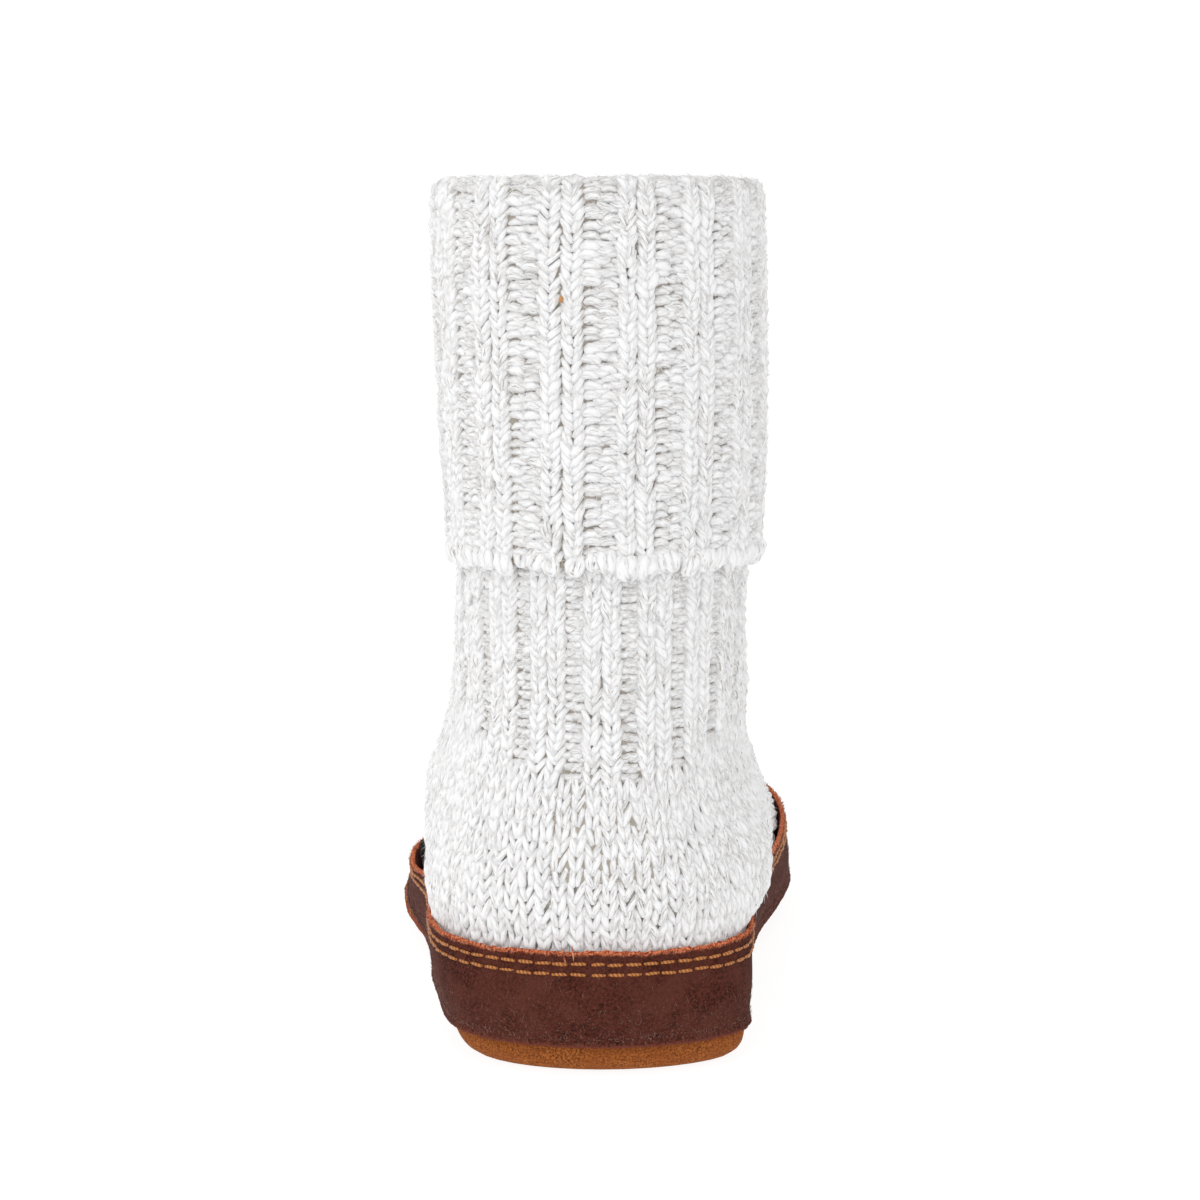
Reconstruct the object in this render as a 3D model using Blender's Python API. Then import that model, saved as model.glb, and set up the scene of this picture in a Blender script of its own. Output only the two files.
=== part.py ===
"""A left slipper sock that stands empty on its sole.

The frame has +Y to the toe, +X to the inner (medial) side of the foot and +Z up. The origin lies on the
floor under the middle of the shoe. Sizes are in millimetres until a mesh is made, which is in metres.

Every form here comes from one skin: a stack of closed loops round the last. Each loop has a back point on
the heel line and a front point on the vamp line, and a half-breadth at each share of its own length.
"""

from collections import namedtuple
from math import cos, pi, sin, sqrt

import bmesh
import bpy
import numpy as np

MM = 0.001

# Driving sizes, in millimetres.
SHOE_LENGTH = 268.0
MIDDLE_ACROSS = -0.7  # the middle of the shoe's width, from the line through the heel
WALL = 2.6  # the knit
BAND_THICK = 1.8  # the leather of the band
GAP = 0.3  # between two pieces that touch
BAND_CLEAR = 0.4  # between the band's flat facets and the finer curve that they follow
UNDER_BAND = BAND_THICK + BAND_CLEAR
BAND_BELLY = 0.9  # how far the band swells out halfway up
SOLE_TOP = 9.0
SOLE_EDGE_RADIUS = 5.5
TOE_SPRING = 4.5
SPRING_FROM = 222.0  # station where the sole starts to lift
ARCH_RISE = 1.6
ARCH_FROM, ARCH_TO = 88.0, 158.0
FOOTBED_THICK = 4.2
BAND_FOOT = 7.9  # height of the band's lower edge
CUFF_STANDOFF = 0.6  # air between the leg and the turned-down cuff
CUFF_HEM_Z = 116.0
SLIT_TOP_Z = 199.0
RIM_Z = 210.0
HEEL_ROUND = 50.0  # plan radius at the back of the heel
TOE_ROUND = 37.0  # plan radius at the tip of the toe

KNIT_AROUND = 64
BAND_AROUND = 96
SOLE_AROUND = 80
FOOTBED_AROUND = 56
TURN_STEP = 0.004  # the step along a loop from which its direction is taken

# Half-breadths on the outer (lateral) and inner (medial) side, at each share of a loop's own length.
# "low" is the band's lower edge, "edge" its upper edge, "puff" the knit where it swells above the band.
Breadth = namedtuple(
    "Breadth", "share lateral_low lateral_edge lateral_puff medial_low medial_edge medial_puff"
)
BREADTHS = [
    Breadth(0.05, 31.2, 32.4, 30.0, 33.2, 31.6, 28.5),
    Breadth(0.12, 37.6, 41.4, 40.5, 36.4, 37.8, 36.8),
    Breadth(0.23, 41.8, 44.0, 43.2, 37.0, 38.8, 38.8),
    Breadth(0.35, 45.6, 46.4, 44.9, 39.6, 43.0, 41.2),
    Breadth(0.48, 51.0, 49.8, 46.4, 44.0, 47.8, 43.8),
    Breadth(0.60, 55.4, 50.9, 47.0, 49.8, 51.0, 45.4),
    Breadth(0.72, 56.0, 50.2, 45.6, 54.4, 52.0, 46.0),
    Breadth(0.82, 51.0, 45.4, 41.2, 51.8, 48.4, 43.2),
    Breadth(0.91, 39.6, 35.6, 32.4, 41.2, 38.4, 34.8),
    Breadth(0.97, 24.0, 21.8, 19.8, 25.2, 23.6, 21.4),
]

# One row for each loop of the skin, from the sole up. "form" runs from the low outline (0) through the
# band's upper edge (1) and the puffed knit (2) to a plain egg (3), whose half-breadths are the last columns.
# "inset" is how deep the knit lies under the outline there.
Loop = namedtuple("Loop", "name back back_z front front_z form inset lateral medial egg")
LOOPS = [
    Loop("feather", 2.2, 9.3, 267.2, 9.3, 0.10, UNDER_BAND, 50, 50, 0.0),
    Loop("belly", 0.9, 18.0, 266.9, 18.0, 0.50, UNDER_BAND, 50, 50, 0.0),
    Loop("band edge", 4.0, 29.2, 264.0, 29.2, 1.00, UNDER_BAND, 50, 50, 0.0),
    Loop("over band", 2.4, 37.5, 258.0, 38.5, 1.55, 0.2, 50, 50, 0.0),
    Loop("puff", 2.6, 46.5, 246.0, 47.0, 2.00, 0.0, 47, 45, 0.0),
    Loop("low vamp", 4.2, 55.0, 224.0, 54.0, 2.40, 0.0, 45.0, 41.2, 0.10),
    Loop("vamp", 6.6, 64.0, 193.0, 62.5, 2.75, 0.0, 42.0, 39.2, 0.15),
    Loop("high vamp", 9.0, 73.5, 160.0, 72.5, 3.00, 0.0, 38.0, 36.2, 0.25),
    Loop("instep", 10.6, 84.0, 127.0, 85.5, 3.00, 0.0, 36.6, 36.1, 0.12),
    Loop("ankle", 11.3, 96.5, 103.5, 99.5, 3.00, 0.0, 36.0, 35.9, 0.03),
    Loop("under hem", 11.2, 108.0, 94.5, 112.0, 3.00, 0.0, 35.6, 35.8, 0.0),
    Loop("in hem", 11.6, 124.0, 92.6, 126.0, 3.00, 0.0, 34.2, 36.4, 0.0),
    Loop("mid leg", 11.2, 150.0, 92.4, 151.0, 3.00, 0.0, 35.0, 37.2, 0.0),
    Loop("top leg", 10.8, 199.0, 92.8, 199.5, 3.00, 0.0, 37.0, 36.4, 0.0),
]
LEVEL = {row.name: level for level, row in enumerate(LOOPS)}


# ---- The skin ------------------------------------------------------------------------------------------


def smooth_through(knots, values):
    """The natural cubic that runs through the values at the knots, as a function."""
    knots = np.asarray(knots, float)
    values = np.asarray(values, float)
    steps = np.diff(knots)
    slopes = np.diff(values) / steps
    count = len(knots)
    matrix = np.eye(count)
    right = np.zeros(count)
    for i in range(1, count - 1):
        matrix[i, i - 1 : i + 2] = steps[i - 1], 2 * (steps[i - 1] + steps[i]), steps[i]
        right[i] = 6 * (slopes[i] - slopes[i - 1])
    bends = np.linalg.solve(matrix, right)

    def value(at):
        i = int(np.clip(np.searchsorted(knots, at) - 1, 0, count - 2))
        left, over, step = knots[i + 1] - at, at - knots[i], steps[i]
        cubic = (bends[i] * left**3 + bends[i + 1] * over**3) / (6 * step)
        start = values[i] / step - bends[i] * step / 6
        end = values[i + 1] / step - bends[i + 1] * step / 6
        return cubic + start * left + end * over

    return value


def oval_share(share):
    """How wide an oval is at a share of its length, as a part of its full half-breadth."""
    return 2 * sqrt(share * (1 - share))


def fullness(column):
    """The half-breadth of the oval that passes through each point of an outline, along its length."""
    ends = [sqrt(radius * SHOE_LENGTH / 2) for radius in (HEEL_ROUND, TOE_ROUND)]
    inner = [getattr(row, column) / oval_share(row.share) for row in BREADTHS]
    return smooth_through([0.0] + [row.share for row in BREADTHS] + [1.0], [ends[0]] + inner + [ends[1]])


OUTLINES = {
    side: [fullness(side + kind) for kind in ("_low", "_edge", "_puff")] for side in ("lateral", "medial")
}
COLUMNS = {
    column: smooth_through(range(len(LOOPS)), [getattr(row, column) for row in LOOPS])
    for column in Loop._fields[1:]
}


def lift(station):
    """How far the shoe's underside rises for the toe spring."""
    over = max(0.0, station - SPRING_FROM) / (SHOE_LENGTH - SPRING_FROM)
    return TOE_SPRING * over**2


def drawn_skin(level, turn):
    """A point of the outline that the tables draw, before the knit is set in under the band."""
    row = {column: COLUMNS[column](level) for column in COLUMNS}
    side, mirror = ("medial", 1) if sin(turn) >= 0 else ("lateral", -1)
    share = (1 - cos(turn)) / 2
    outlines = [outline(share) for outline in OUTLINES[side]]
    outlines.append(row[side] * (1 + row["egg"] * (1 - 2 * share)))
    form = min(max(row["form"], 0.0), 3.0)
    first = min(int(form), 2)
    blend = form - first
    across = outlines[first] * (1 - blend) + outlines[first + 1] * blend
    station = row["back"] + (row["front"] - row["back"]) * share
    z = row["back_z"] + (row["front_z"] - row["back_z"]) * share
    rise = lift(station) * max(0.0, 1 - max(0.0, z - SOLE_TOP) / 60)
    return np.array([mirror * abs(sin(turn)) * across, station, z + rise])


def skin(level, turn, out=0.0):
    """A point of the sock's outer skin: level counts up the loops, turn runs from the heel by the inner side.

    "out" moves the point away from the last, level with the floor and square to the loop.
    """
    ahead, behind = drawn_skin(level, turn + TURN_STEP), drawn_skin(level, turn - TURN_STEP)
    away = np.array([ahead[1] - behind[1], behind[0] - ahead[0], 0.0])
    away /= np.linalg.norm(away)
    return drawn_skin(level, turn) + away * (out - COLUMNS["inset"](level))


def level_at(height):
    """The level at which the heel line passes a height."""
    low, high = 0.0, len(LOOPS) - 1.0
    for _ in range(40):
        middle = (low + high) / 2
        if COLUMNS["back_z"](middle) < height:
            low = middle
        else:
            high = middle
    return low


# ---- Meshes --------------------------------------------------------------------------------------------


def turns(count):
    """Even steps round a loop, from the back of the heel by the inner side."""
    return [2 * pi * step / count for step in range(count)]


def material(name, colour, roughness):
    """A plain surface for one kind of piece."""
    surface = bpy.data.materials.new(name)
    surface.use_nodes = True
    shader = surface.node_tree.nodes["Principled BSDF"]
    shader.inputs["Base Color"].default_value = (*colour, 1)
    shader.inputs["Roughness"].default_value = roughness
    return surface


def make_object(name, points, faces, surface):
    """A named object from points in millimetres, with its faces turned outwards."""
    mesh = bmesh.new()
    to_middle = np.array([MIDDLE_ACROSS, SHOE_LENGTH / 2, 0])
    corners = [mesh.verts.new((point - to_middle) * MM) for point in points]
    for face in faces:
        mesh.faces.new([corners[corner] for corner in face])
    bmesh.ops.recalc_face_normals(mesh, faces=mesh.faces)
    if mesh.calc_volume(signed=True) < 0:
        bmesh.ops.reverse_faces(mesh, faces=mesh.faces)
    data = bpy.data.meshes.new(name)
    mesh.to_mesh(data)
    mesh.free()
    data.shade_smooth()
    data.set_sharp_from_angle(angle=0.7)
    data.materials.append(surface)
    piece = bpy.data.objects.new(name, data)
    bpy.context.scene.collection.objects.link(piece)
    return piece


def ring_faces(rings, around, closed):
    """The quads between rings of points, each with as many points; closed joins the last ring to the first."""
    faces = []
    for ring in range(rings if closed else rings - 1):
        following = (ring + 1) % rings
        for step in range(around):
            beside = (step + 1) % around
            faces.append(
                (
                    ring * around + step,
                    ring * around + beside,
                    following * around + beside,
                    following * around + step,
                )
            )
    return faces


def make_tube(name, rings, surface):
    """A wall whose section is closed: every ring goes round the foot, and the last meets the first."""
    around = len(rings[0])
    points = [point for ring in rings for point in ring]
    return make_object(name, points, ring_faces(len(rings), around, True), surface)


def make_pad(name, rings, surface):
    """A solid pad of stacked rings, closed below and above by strips that run straight across."""
    around = len(rings[0])
    points = [point for ring in rings for point in ring]
    faces = ring_faces(len(rings), around, False)
    for first in (0, (len(rings) - 1) * around):
        for step in range(around // 2):
            near = [first + step, first + step + 1]
            far = [first + (around - step - 1) % around, first + (around - step) % around]
            strip = near + far
            faces.append(tuple(dict.fromkeys(strip)))
    return make_object(name, points, faces, surface)


def skin_normals(rings):
    """The direction out of the skin at each point of a stack of rings, from its neighbours."""
    grid = np.array(rings)
    along = np.roll(grid, -1, axis=1) - np.roll(grid, 1, axis=1)
    up = np.gradient(grid, axis=0)
    normals = np.cross(along, up)
    return normals / np.linalg.norm(normals, axis=2, keepdims=True)


# ---- The pieces ----------------------------------------------------------------------------------------


def knit_upper(surface):
    """The sock: up the inside of the foot and leg, over the fold, down the cuff and back up inside it."""
    around = turns(KNIT_AROUND)
    levels = [0, 0.5, 1, 1.5, 2, 2.4, 2.8, 3.4, 4, 4.6, 5.3, 6, 6.7, 7.4, 8.1, 8.8, 9.4, 10, 11, 12, 13]
    outer = np.array([[skin(level, turn) for turn in around] for level in levels])
    inner = outer - skin_normals(outer) * WALL
    # The lower rim stands level on the sole's margin.
    inner[0, :, 2] = outer[0, :, 2]

    # Half a turn over the fold, from the leg's inner face to the cuff's outer face.
    reach = (2 * WALL + CUFF_STANDOFF) / 2
    fold = []
    for step in range(7):
        angle = pi * step / 6
        across, height = reach * (1 - cos(angle)) - WALL, RIM_Z - reach * (1 - sin(angle))
        fold.append([leg_point(turn, across, height) for turn in around])
    # Down the outside of the cuff, round its hem and up inside it to the head of the slit.
    proud = CUFF_STANDOFF + WALL
    down = [190, 176, 158, 141, 128, CUFF_HEM_Z + 6, CUFF_HEM_Z + 1.4]
    outside = [[leg_point(turn, proud + cuff_swell(z), z) for turn in around] for z in down]
    hem = [[leg_point(turn, CUFF_STANDOFF + WALL / 2, CUFF_HEM_Z) for turn in around]]
    up = [CUFF_HEM_Z + 1.4, 128, 141, 158, 176, SLIT_TOP_Z - 4]
    inside = [[leg_point(turn, CUFF_STANDOFF, z) for turn in around] for z in up]
    head = [[leg_point(turn, CUFF_STANDOFF / 2, SLIT_TOP_Z - 2) for turn in around]]
    # Down the outside of the leg and the foot to the rim under the band.
    leg = [[leg_point(turn, 0.0, z) for turn in around] for z in (176, 158, 141, 128)]
    foot = [ring for ring, level in zip(outer, levels) if level <= LEVEL["under hem"]][::-1]
    rings = list(inner[:-1]) + fold + outside + hem + inside + head + leg + foot
    return make_tube("knit_upper", rings, surface)


def leg_point(turn, out, height):
    """A point at a height beside the leg's outer skin, moved out level with the floor."""
    level = level_at(height)
    point = skin(level, turn, out)
    return np.array([point[0], point[1], height])


def cuff_swell(height):
    """The cuff stands a little prouder towards its fold."""
    return 0.4 * max(0.0, (height - CUFF_HEM_Z) / (RIM_Z - CUFF_HEM_Z))


def suede_band(surface):
    """The strip round the foot: up its inner face, over its raw edge and down its swelling outer face."""
    around = turns(BAND_AROUND)
    top = LEVEL["band edge"]
    levels = [0, 0.5, 1, 1.5, top]
    foot = [[band_foot_point(turn, BAND_CLEAR) for turn in around]]
    inner = foot + [[skin(level, turn, BAND_CLEAR) for turn in around] for level in levels]
    outer = [[band_foot_point(turn, UNDER_BAND) for turn in around]]
    for level in levels:
        belly = BAND_BELLY * sin(pi * level / top)
        outer.append([skin(level, turn, UNDER_BAND + belly) for turn in around])
    return make_tube("suede_band", inner + outer[::-1], surface)


def band_foot_point(turn, out):
    """A point of the band's lower edge."""
    point = skin(0, turn, out)
    return np.array([point[0], point[1], point[2] - SOLE_TOP - GAP + BAND_FOOT])


def underside(station):
    """Height of the sole's underside: flat at heel and ball, hollow at the arch, lifted at the toe."""
    over = min(max((station - ARCH_FROM) / (ARCH_TO - ARCH_FROM), 0.0), 1.0)
    return lift(station) + ARCH_RISE * sin(pi * over) ** 2


def suede_sole(surface):
    """The cushion sole: a rounded lower edge, an upright side and a flat top that carries the sock."""
    around = turns(SOLE_AROUND)
    rings = []
    for step in range(5):
        angle = pi / 2 * step / 4
        inset = SOLE_EDGE_RADIUS * (1 - sin(angle))
        rise = SOLE_EDGE_RADIUS * (1 - cos(angle))
        ring = []
        for turn in around:
            point = skin(0, turn, -inset)
            ring.append(np.array([point[0], point[1], underside(point[1]) + rise]))
        rings.append(ring)
    top = []
    for turn in around:
        point = skin(0, turn)
        top.append(np.array([point[0], point[1], SOLE_TOP + lift(point[1])]))
    rings.append(top)
    return make_pad("suede_sole", rings, surface)


def footbed(surface):
    """The insole: a flat pad inside the knit wall, on the sole."""
    around = turns(FOOTBED_AROUND)
    clear = WALL + 2 * GAP
    rings = []
    for rise, inset in ((0.0, 0.4), (0.8, 0.0), (FOOTBED_THICK - 1.2, 0.0), (FOOTBED_THICK, 1.2)):
        height = SOLE_TOP + GAP + rise
        level = max(0.0, level_at(height))
        ring = []
        for turn in around:
            point = skin(level, turn, -clear - inset)
            ring.append(np.array([point[0], point[1], height + lift(point[1])]))
        rings.append(ring)
    return make_pad("footbed", rings, surface)


# The folded tab on the outer side, by the band's upper edge.
TAB_FROM, TAB_TO = 103.0, 121.0  # stations
TAB_HEIGHT = 6.5
TAB_THICK = 1.5


def turn_at(station, level):
    """The turn on the outer side at which a loop passes a station."""
    back, front = COLUMNS["back"](level), COLUMNS["front"](level)
    return -np.arccos(1 - 2 * (station - back) / (front - back))


def side_tab(surface):
    """A strip of tape folded double that stands on the band's upper edge and lies along the knit."""
    low = LEVEL["band edge"]
    rings = []
    for part in range(5):
        station = TAB_FROM + (TAB_TO - TAB_FROM) * part / 4
        section = []
        foot = skin(low, turn_at(station, low), 0.0)
        for rise, out in ((0, 0), (3.2, 0), (TAB_HEIGHT, 0.3), (TAB_HEIGHT, 0.8), (3.2, 1), (0, 1)):
            height = foot[2] + GAP + rise
            level = level_at(height)
            face = skin(level, turn_at(station, level), GAP + 0.15 + out * TAB_THICK)
            section.append(np.array([face[0], station, height]))
        rings.append(section)
    points = [point for ring in rings for point in ring]
    sides = len(rings[0])
    faces = ring_faces(len(rings), sides, False)
    faces.append(tuple(range(sides)))
    faces.append(tuple(range((len(rings) - 1) * sides, len(rings) * sides)))
    return make_object("side_tab", points, faces, surface)


for old in list(bpy.data.objects):
    bpy.data.objects.remove(old, do_unlink=True)

wool = material("ragg_wool", (0.86, 0.85, 0.83), 0.9)
brown = material("brown_suede", (0.08, 0.03, 0.02), 0.85)
tan = material("tan_suede", (0.33, 0.11, 0.025), 0.85)
fleece = material("footbed_fleece", (0.62, 0.58, 0.52), 0.95)
tape = material("black_tape", (0.01, 0.01, 0.012), 0.8)

knit_upper(wool)
suede_band(brown)
suede_sole(tan)
footbed(fleece)
side_tab(tape)
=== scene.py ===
"""The looks of a left slipper sock: a ragg wool sock with a turned down rib cuff, on a suede foot."""

import math

import bpy
import numpy as np
from mathutils import Matrix, Vector, noise
from mathutils.bvhtree import BVHTree


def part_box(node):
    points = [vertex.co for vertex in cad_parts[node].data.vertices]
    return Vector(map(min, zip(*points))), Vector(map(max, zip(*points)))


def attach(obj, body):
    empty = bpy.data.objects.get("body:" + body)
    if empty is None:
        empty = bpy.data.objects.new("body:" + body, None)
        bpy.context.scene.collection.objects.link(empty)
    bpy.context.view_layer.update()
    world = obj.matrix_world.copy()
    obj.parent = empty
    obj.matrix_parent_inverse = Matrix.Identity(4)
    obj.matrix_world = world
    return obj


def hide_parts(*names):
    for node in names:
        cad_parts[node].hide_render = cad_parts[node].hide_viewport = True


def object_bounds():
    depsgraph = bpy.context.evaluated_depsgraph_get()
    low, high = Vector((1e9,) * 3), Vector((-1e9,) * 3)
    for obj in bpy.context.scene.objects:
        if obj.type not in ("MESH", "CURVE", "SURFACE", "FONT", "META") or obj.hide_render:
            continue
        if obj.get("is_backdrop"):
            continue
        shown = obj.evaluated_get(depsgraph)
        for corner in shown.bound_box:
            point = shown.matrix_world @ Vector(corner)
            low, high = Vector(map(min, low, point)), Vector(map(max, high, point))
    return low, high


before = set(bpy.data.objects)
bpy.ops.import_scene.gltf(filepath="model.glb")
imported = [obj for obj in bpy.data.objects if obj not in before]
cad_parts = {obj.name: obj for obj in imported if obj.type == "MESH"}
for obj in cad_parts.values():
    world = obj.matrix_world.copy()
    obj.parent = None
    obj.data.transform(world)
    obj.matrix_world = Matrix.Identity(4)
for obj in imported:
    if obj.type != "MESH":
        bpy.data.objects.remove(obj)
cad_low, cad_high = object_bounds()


# ---- Camera, floor and light ---------------------------------------------------------------------------
# The shoe stands on a lit white table, heel towards the eye. The eye is a little below the collar, close
# enough for the foot to widen below the heel. Wide soft boxes light it, the stronger one on the left.

MM = 0.001

EYE_BACK = 714.6 * MM  # behind the heel
EYE_HEIGHT = 200.5 * MM
EYE_PITCH = math.radians(6.94)
EYE_YAW = math.radians(-0.4)
HEEL_DEPTH = 45 * MM  # from the heel's back to the point that the eye is turned about
LENS = 93.8

turning_point = Vector((0, cad_low.y + HEEL_DEPTH, 0))
eye = Vector((0, cad_low.y - EYE_BACK, EYE_HEIGHT)) - turning_point
eye.rotate(Matrix.Rotation(-EYE_YAW, 3, "Z"))
bpy.ops.object.camera_add(
    location=turning_point + eye,
    rotation=(math.pi / 2 - EYE_PITCH, 0, -EYE_YAW),
)
camera = bpy.context.object
camera.data.lens = LENS
camera.data.sensor_width = 36
camera.data.shift_x = 0.00125
camera.data.clip_end = 60
bpy.context.scene.camera = camera
bpy.context.scene.view_settings.view_transform = "Standard"


def linear(hex_colour):
    """An sRGB hex colour as linear RGBA."""
    parts = [int(hex_colour[i : i + 2], 16) / 255 for i in (1, 3, 5)]
    return tuple(c / 12.92 if c <= 0.04045 else ((c + 0.055) / 1.055) ** 2.4 for c in parts) + (1,)


def add_node(tree, kind, inputs=None, **settings):
    """Adds a shader node. An input is a value, a hex colour, or a socket or node to link from."""
    new = tree.nodes.new("ShaderNode" + kind)
    for name, value in settings.items():
        setattr(new, name, value)
    for socket, value in (inputs or {}).items():
        if isinstance(value, bpy.types.Node):
            value = next(output for output in value.outputs if output.enabled)
        if isinstance(value, bpy.types.NodeSocket):
            tree.links.new(value, new.inputs[socket])
        else:
            new.inputs[socket].default_value = linear(value) if isinstance(value, str) else value
    return new


def new_material(name):
    """An empty material and its node tree."""
    made = bpy.data.materials.new(name)
    made.use_nodes = True
    made.node_tree.nodes.clear()
    return made, made.node_tree


# White acrylic of a lit table, matt on top: light comes up through it, so shadows on it stay pale.
lit_acrylic, tree = new_material("lit_white_acrylic")
surface = add_node(
    tree,
    "BsdfPrincipled",
    {
        "Base Color": "#787878",
        "Roughness": 1.0,
        "Specular IOR Level": 0.0,
        "Emission Color": "#FFFFFF",
        "Emission Strength": 0.90,
    },
)
add_node(tree, "OutputMaterial", {"Surface": surface})

bpy.ops.mesh.primitive_circle_add(vertices=64, radius=25, fill_type="NGON")
floor = bpy.context.object
floor.name = "floor"
floor.data.materials.append(lit_acrylic)
floor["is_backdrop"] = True

# The room is white at the height of the table, and dimmer above, most of all towards the inner side.
world = bpy.data.worlds.new("white_room")
bpy.context.scene.world = world
world.use_nodes = True
tree = world.node_tree
sky = add_node(tree, "TexCoord")
towards = add_node(tree, "SeparateXYZ", {"Vector": sky.outputs["Generated"]})
rise = {"Value": towards.outputs["Z"], "From Min": 0.10, "From Max": 0.30}
backdrop = add_node(
    tree, "MapRange", {**rise, "To Min": 1.06, "To Max": 0.90}, interpolation_type="SMOOTHSTEP"
)
side_share = add_node(tree, "MapRange", {**rise, "To Max": -0.20})
sideways = add_node(tree, "Math", {0: towards.outputs["X"], 1: 2.0}, operation="POWER")
inner_side = add_node(tree, "Math", {0: sideways, 1: 0.9, 2: towards.outputs["X"]}, operation="MULTIPLY_ADD")
brightness = add_node(tree, "Math", {0: inner_side, 1: side_share, 2: backdrop}, operation="MULTIPLY_ADD")
background = tree.nodes["Background"]
tree.links.new(brightness.outputs["Value"], background.inputs["Strength"])
background.inputs["Color"].default_value = linear("#FFFFFF")

KEY_HEIGHT = math.radians(44)  # above the horizon
KEY_SIDE = math.radians(-16)  # to the left of the eye
key_from = Vector((math.sin(KEY_SIDE), -math.cos(KEY_SIDE), 0)) * math.cos(KEY_HEIGHT)
key_from.z = math.sin(KEY_HEIGHT)
bpy.ops.object.light_add(type="SUN", rotation=(-key_from).to_track_quat("-Z", "Y").to_euler())
key_light = bpy.context.object
key_light.name = "wide_soft_box"
key_light.data.energy = 0.56
key_light.data.angle = math.radians(60)


# ---- Knit ground ---------------------------------------------------------------------------------------
# The inner half of the wool fabric: the backs of the stitches, felted by wear into one soft layer with
# the ribs running through it. It carries the stitches of the outside, and shows inside the shaft.

STITCH_DEPTH = 1.7 * MM  # how deep the outer stitches lie
LEG_AXIS_Y = -82 * MM  # the middle of the shaft


def merged_copy(node, name):
    """A CAD node's form as a new piece, its loose triangles merged."""
    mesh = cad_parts[node].data.copy()
    mesh.name = name
    mesh.materials.clear()
    piece = bpy.data.objects.new(name, mesh)
    bpy.context.collection.objects.link(piece)
    bpy.ops.object.select_all(action="DESELECT")
    piece.select_set(True)
    bpy.context.view_layer.objects.active = piece
    if mesh.has_custom_normals:
        bpy.ops.mesh.customdata_custom_splitnormals_clear()
    bpy.ops.object.mode_set(mode="EDIT")
    bpy.ops.mesh.select_all(action="SELECT")
    bpy.ops.mesh.remove_doubles(threshold=0.01 * MM)
    bpy.ops.object.mode_set(mode="OBJECT")
    bpy.ops.object.shade_smooth()
    return piece


def ray_tree(mesh):
    """What rays meet where a mesh is now."""
    return BVHTree.FromPolygons([v.co for v in mesh.vertices], [p.vertices for p in mesh.polygons])


def divide(**settings):
    """Divides the faces of the active piece."""
    bpy.ops.object.mode_set(mode="EDIT")
    bpy.ops.mesh.select_all(action="SELECT")
    bpy.ops.mesh.subdivide(**settings)
    bpy.ops.object.mode_set(mode="OBJECT")


def smooth_step(value, start, end):
    """0 before the start, 1 after the end, and a soft rise between them."""
    t = np.clip((value - start) / (end - start), 0, 1)
    return t * t * (3 - 2 * t)


def between(value, start, full, fading, gone):
    """A soft rise from 0 at start to 1 at full, and a soft fall from fading to 0 at gone."""
    return smooth_step(value, start, full) * (1 - smooth_step(value, fading, gone))


# The knit has settled with wear. It puffs out over the band beside the heel and on the outer side, lies
# closer in over the ball of the foot and at the inner ankle, and the cuff stands off on the outer side.
# Its lowest courses are tucked in behind the band, and the fold and the hem have moved up.
ground = merged_copy("knit_upper", "knit_ground")
mesh = ground.data
for vertex in mesh.vertices:
    x, y, z = vertex.co / MM
    inner, outer = smooth_step(x, 12, 34), smooth_step(-x, 12, 42)
    puffed = 3.4 * inner * between(y, -122, -96, -60, -22) * between(z, 28, 36, 45, 72)
    drawn_in = 4.4 * inner * between(y, -40, 0, 92, 122) * between(z, 31, 45, 52, 82)
    at_ankle = 0.5 * inner * between(z, 48, 60, 104, 114)
    at_ankle += 1.5 * inner * between(z, 48, 60, 68, 86) * (1 - smooth_step(y, 0, 60))
    sagged = 1.3 * between(z, 43, 52, 60, 84) + 1.0 * between(z, 23, 29, 34, 43)
    sagged *= outer * between(y, -115, -90, -66, -36)
    tucked = 1.6 * outer * between(y, 5, 25, 66, 95) * (1 - smooth_step(z, 31, 40))
    tucked -= 1.3 * inner * between(y, -116, -98, -8, 10) * (1 - smooth_step(z, 27, 34))
    stood_off = 1.4 * outer * smooth_step(z, 114, 135)
    vertex.co.x += (puffed + tucked - drawn_in - at_ankle - sagged - stood_off) * MM
    rim_lifted = (0.7 - 1.0 * smooth_step(abs(x), 30, 39)) * smooth_step(z, 196, 208)
    hem_lifted = 3.0 * (114 < z < 140) * (1 - smooth_step(z, 120, 140))
    vertex.co.z += (rim_lifted + hem_lifted) * MM

sock = ray_tree(mesh)
divide(number_cuts=1)
outside = []  # the side that carries stitches, also where the cuff hangs over it
for v in mesh.vertices:
    under_hem = v.co.z < 130 * MM and v.normal.dot(Vector((v.co.x, v.co.y - LEG_AXIS_Y, 0))) > 0
    outside.append(under_hem or sock.ray_cast(v.co + v.normal * 0.3 * MM, v.normal, 0.3)[0] is None)
inward = [v.normal * STITCH_DEPTH for v in mesh.vertices]
for vertex, is_outside, step in zip(mesh.vertices, outside, inward):
    if is_outside:
        vertex.co -= step


def finish(tree, tone, height, strength, depth, surface):
    """Ends a material with its tone, a relief that is depth mm deep, and what its surface is like."""
    relief = add_node(tree, "Bump", {"Height": height, "Strength": strength, "Distance": depth * MM})
    shader = add_node(tree, "BsdfPrincipled", {"Base Color": tone, "Normal": relief, **surface})
    add_node(tree, "OutputMaterial", {"Surface": shader})


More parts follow.
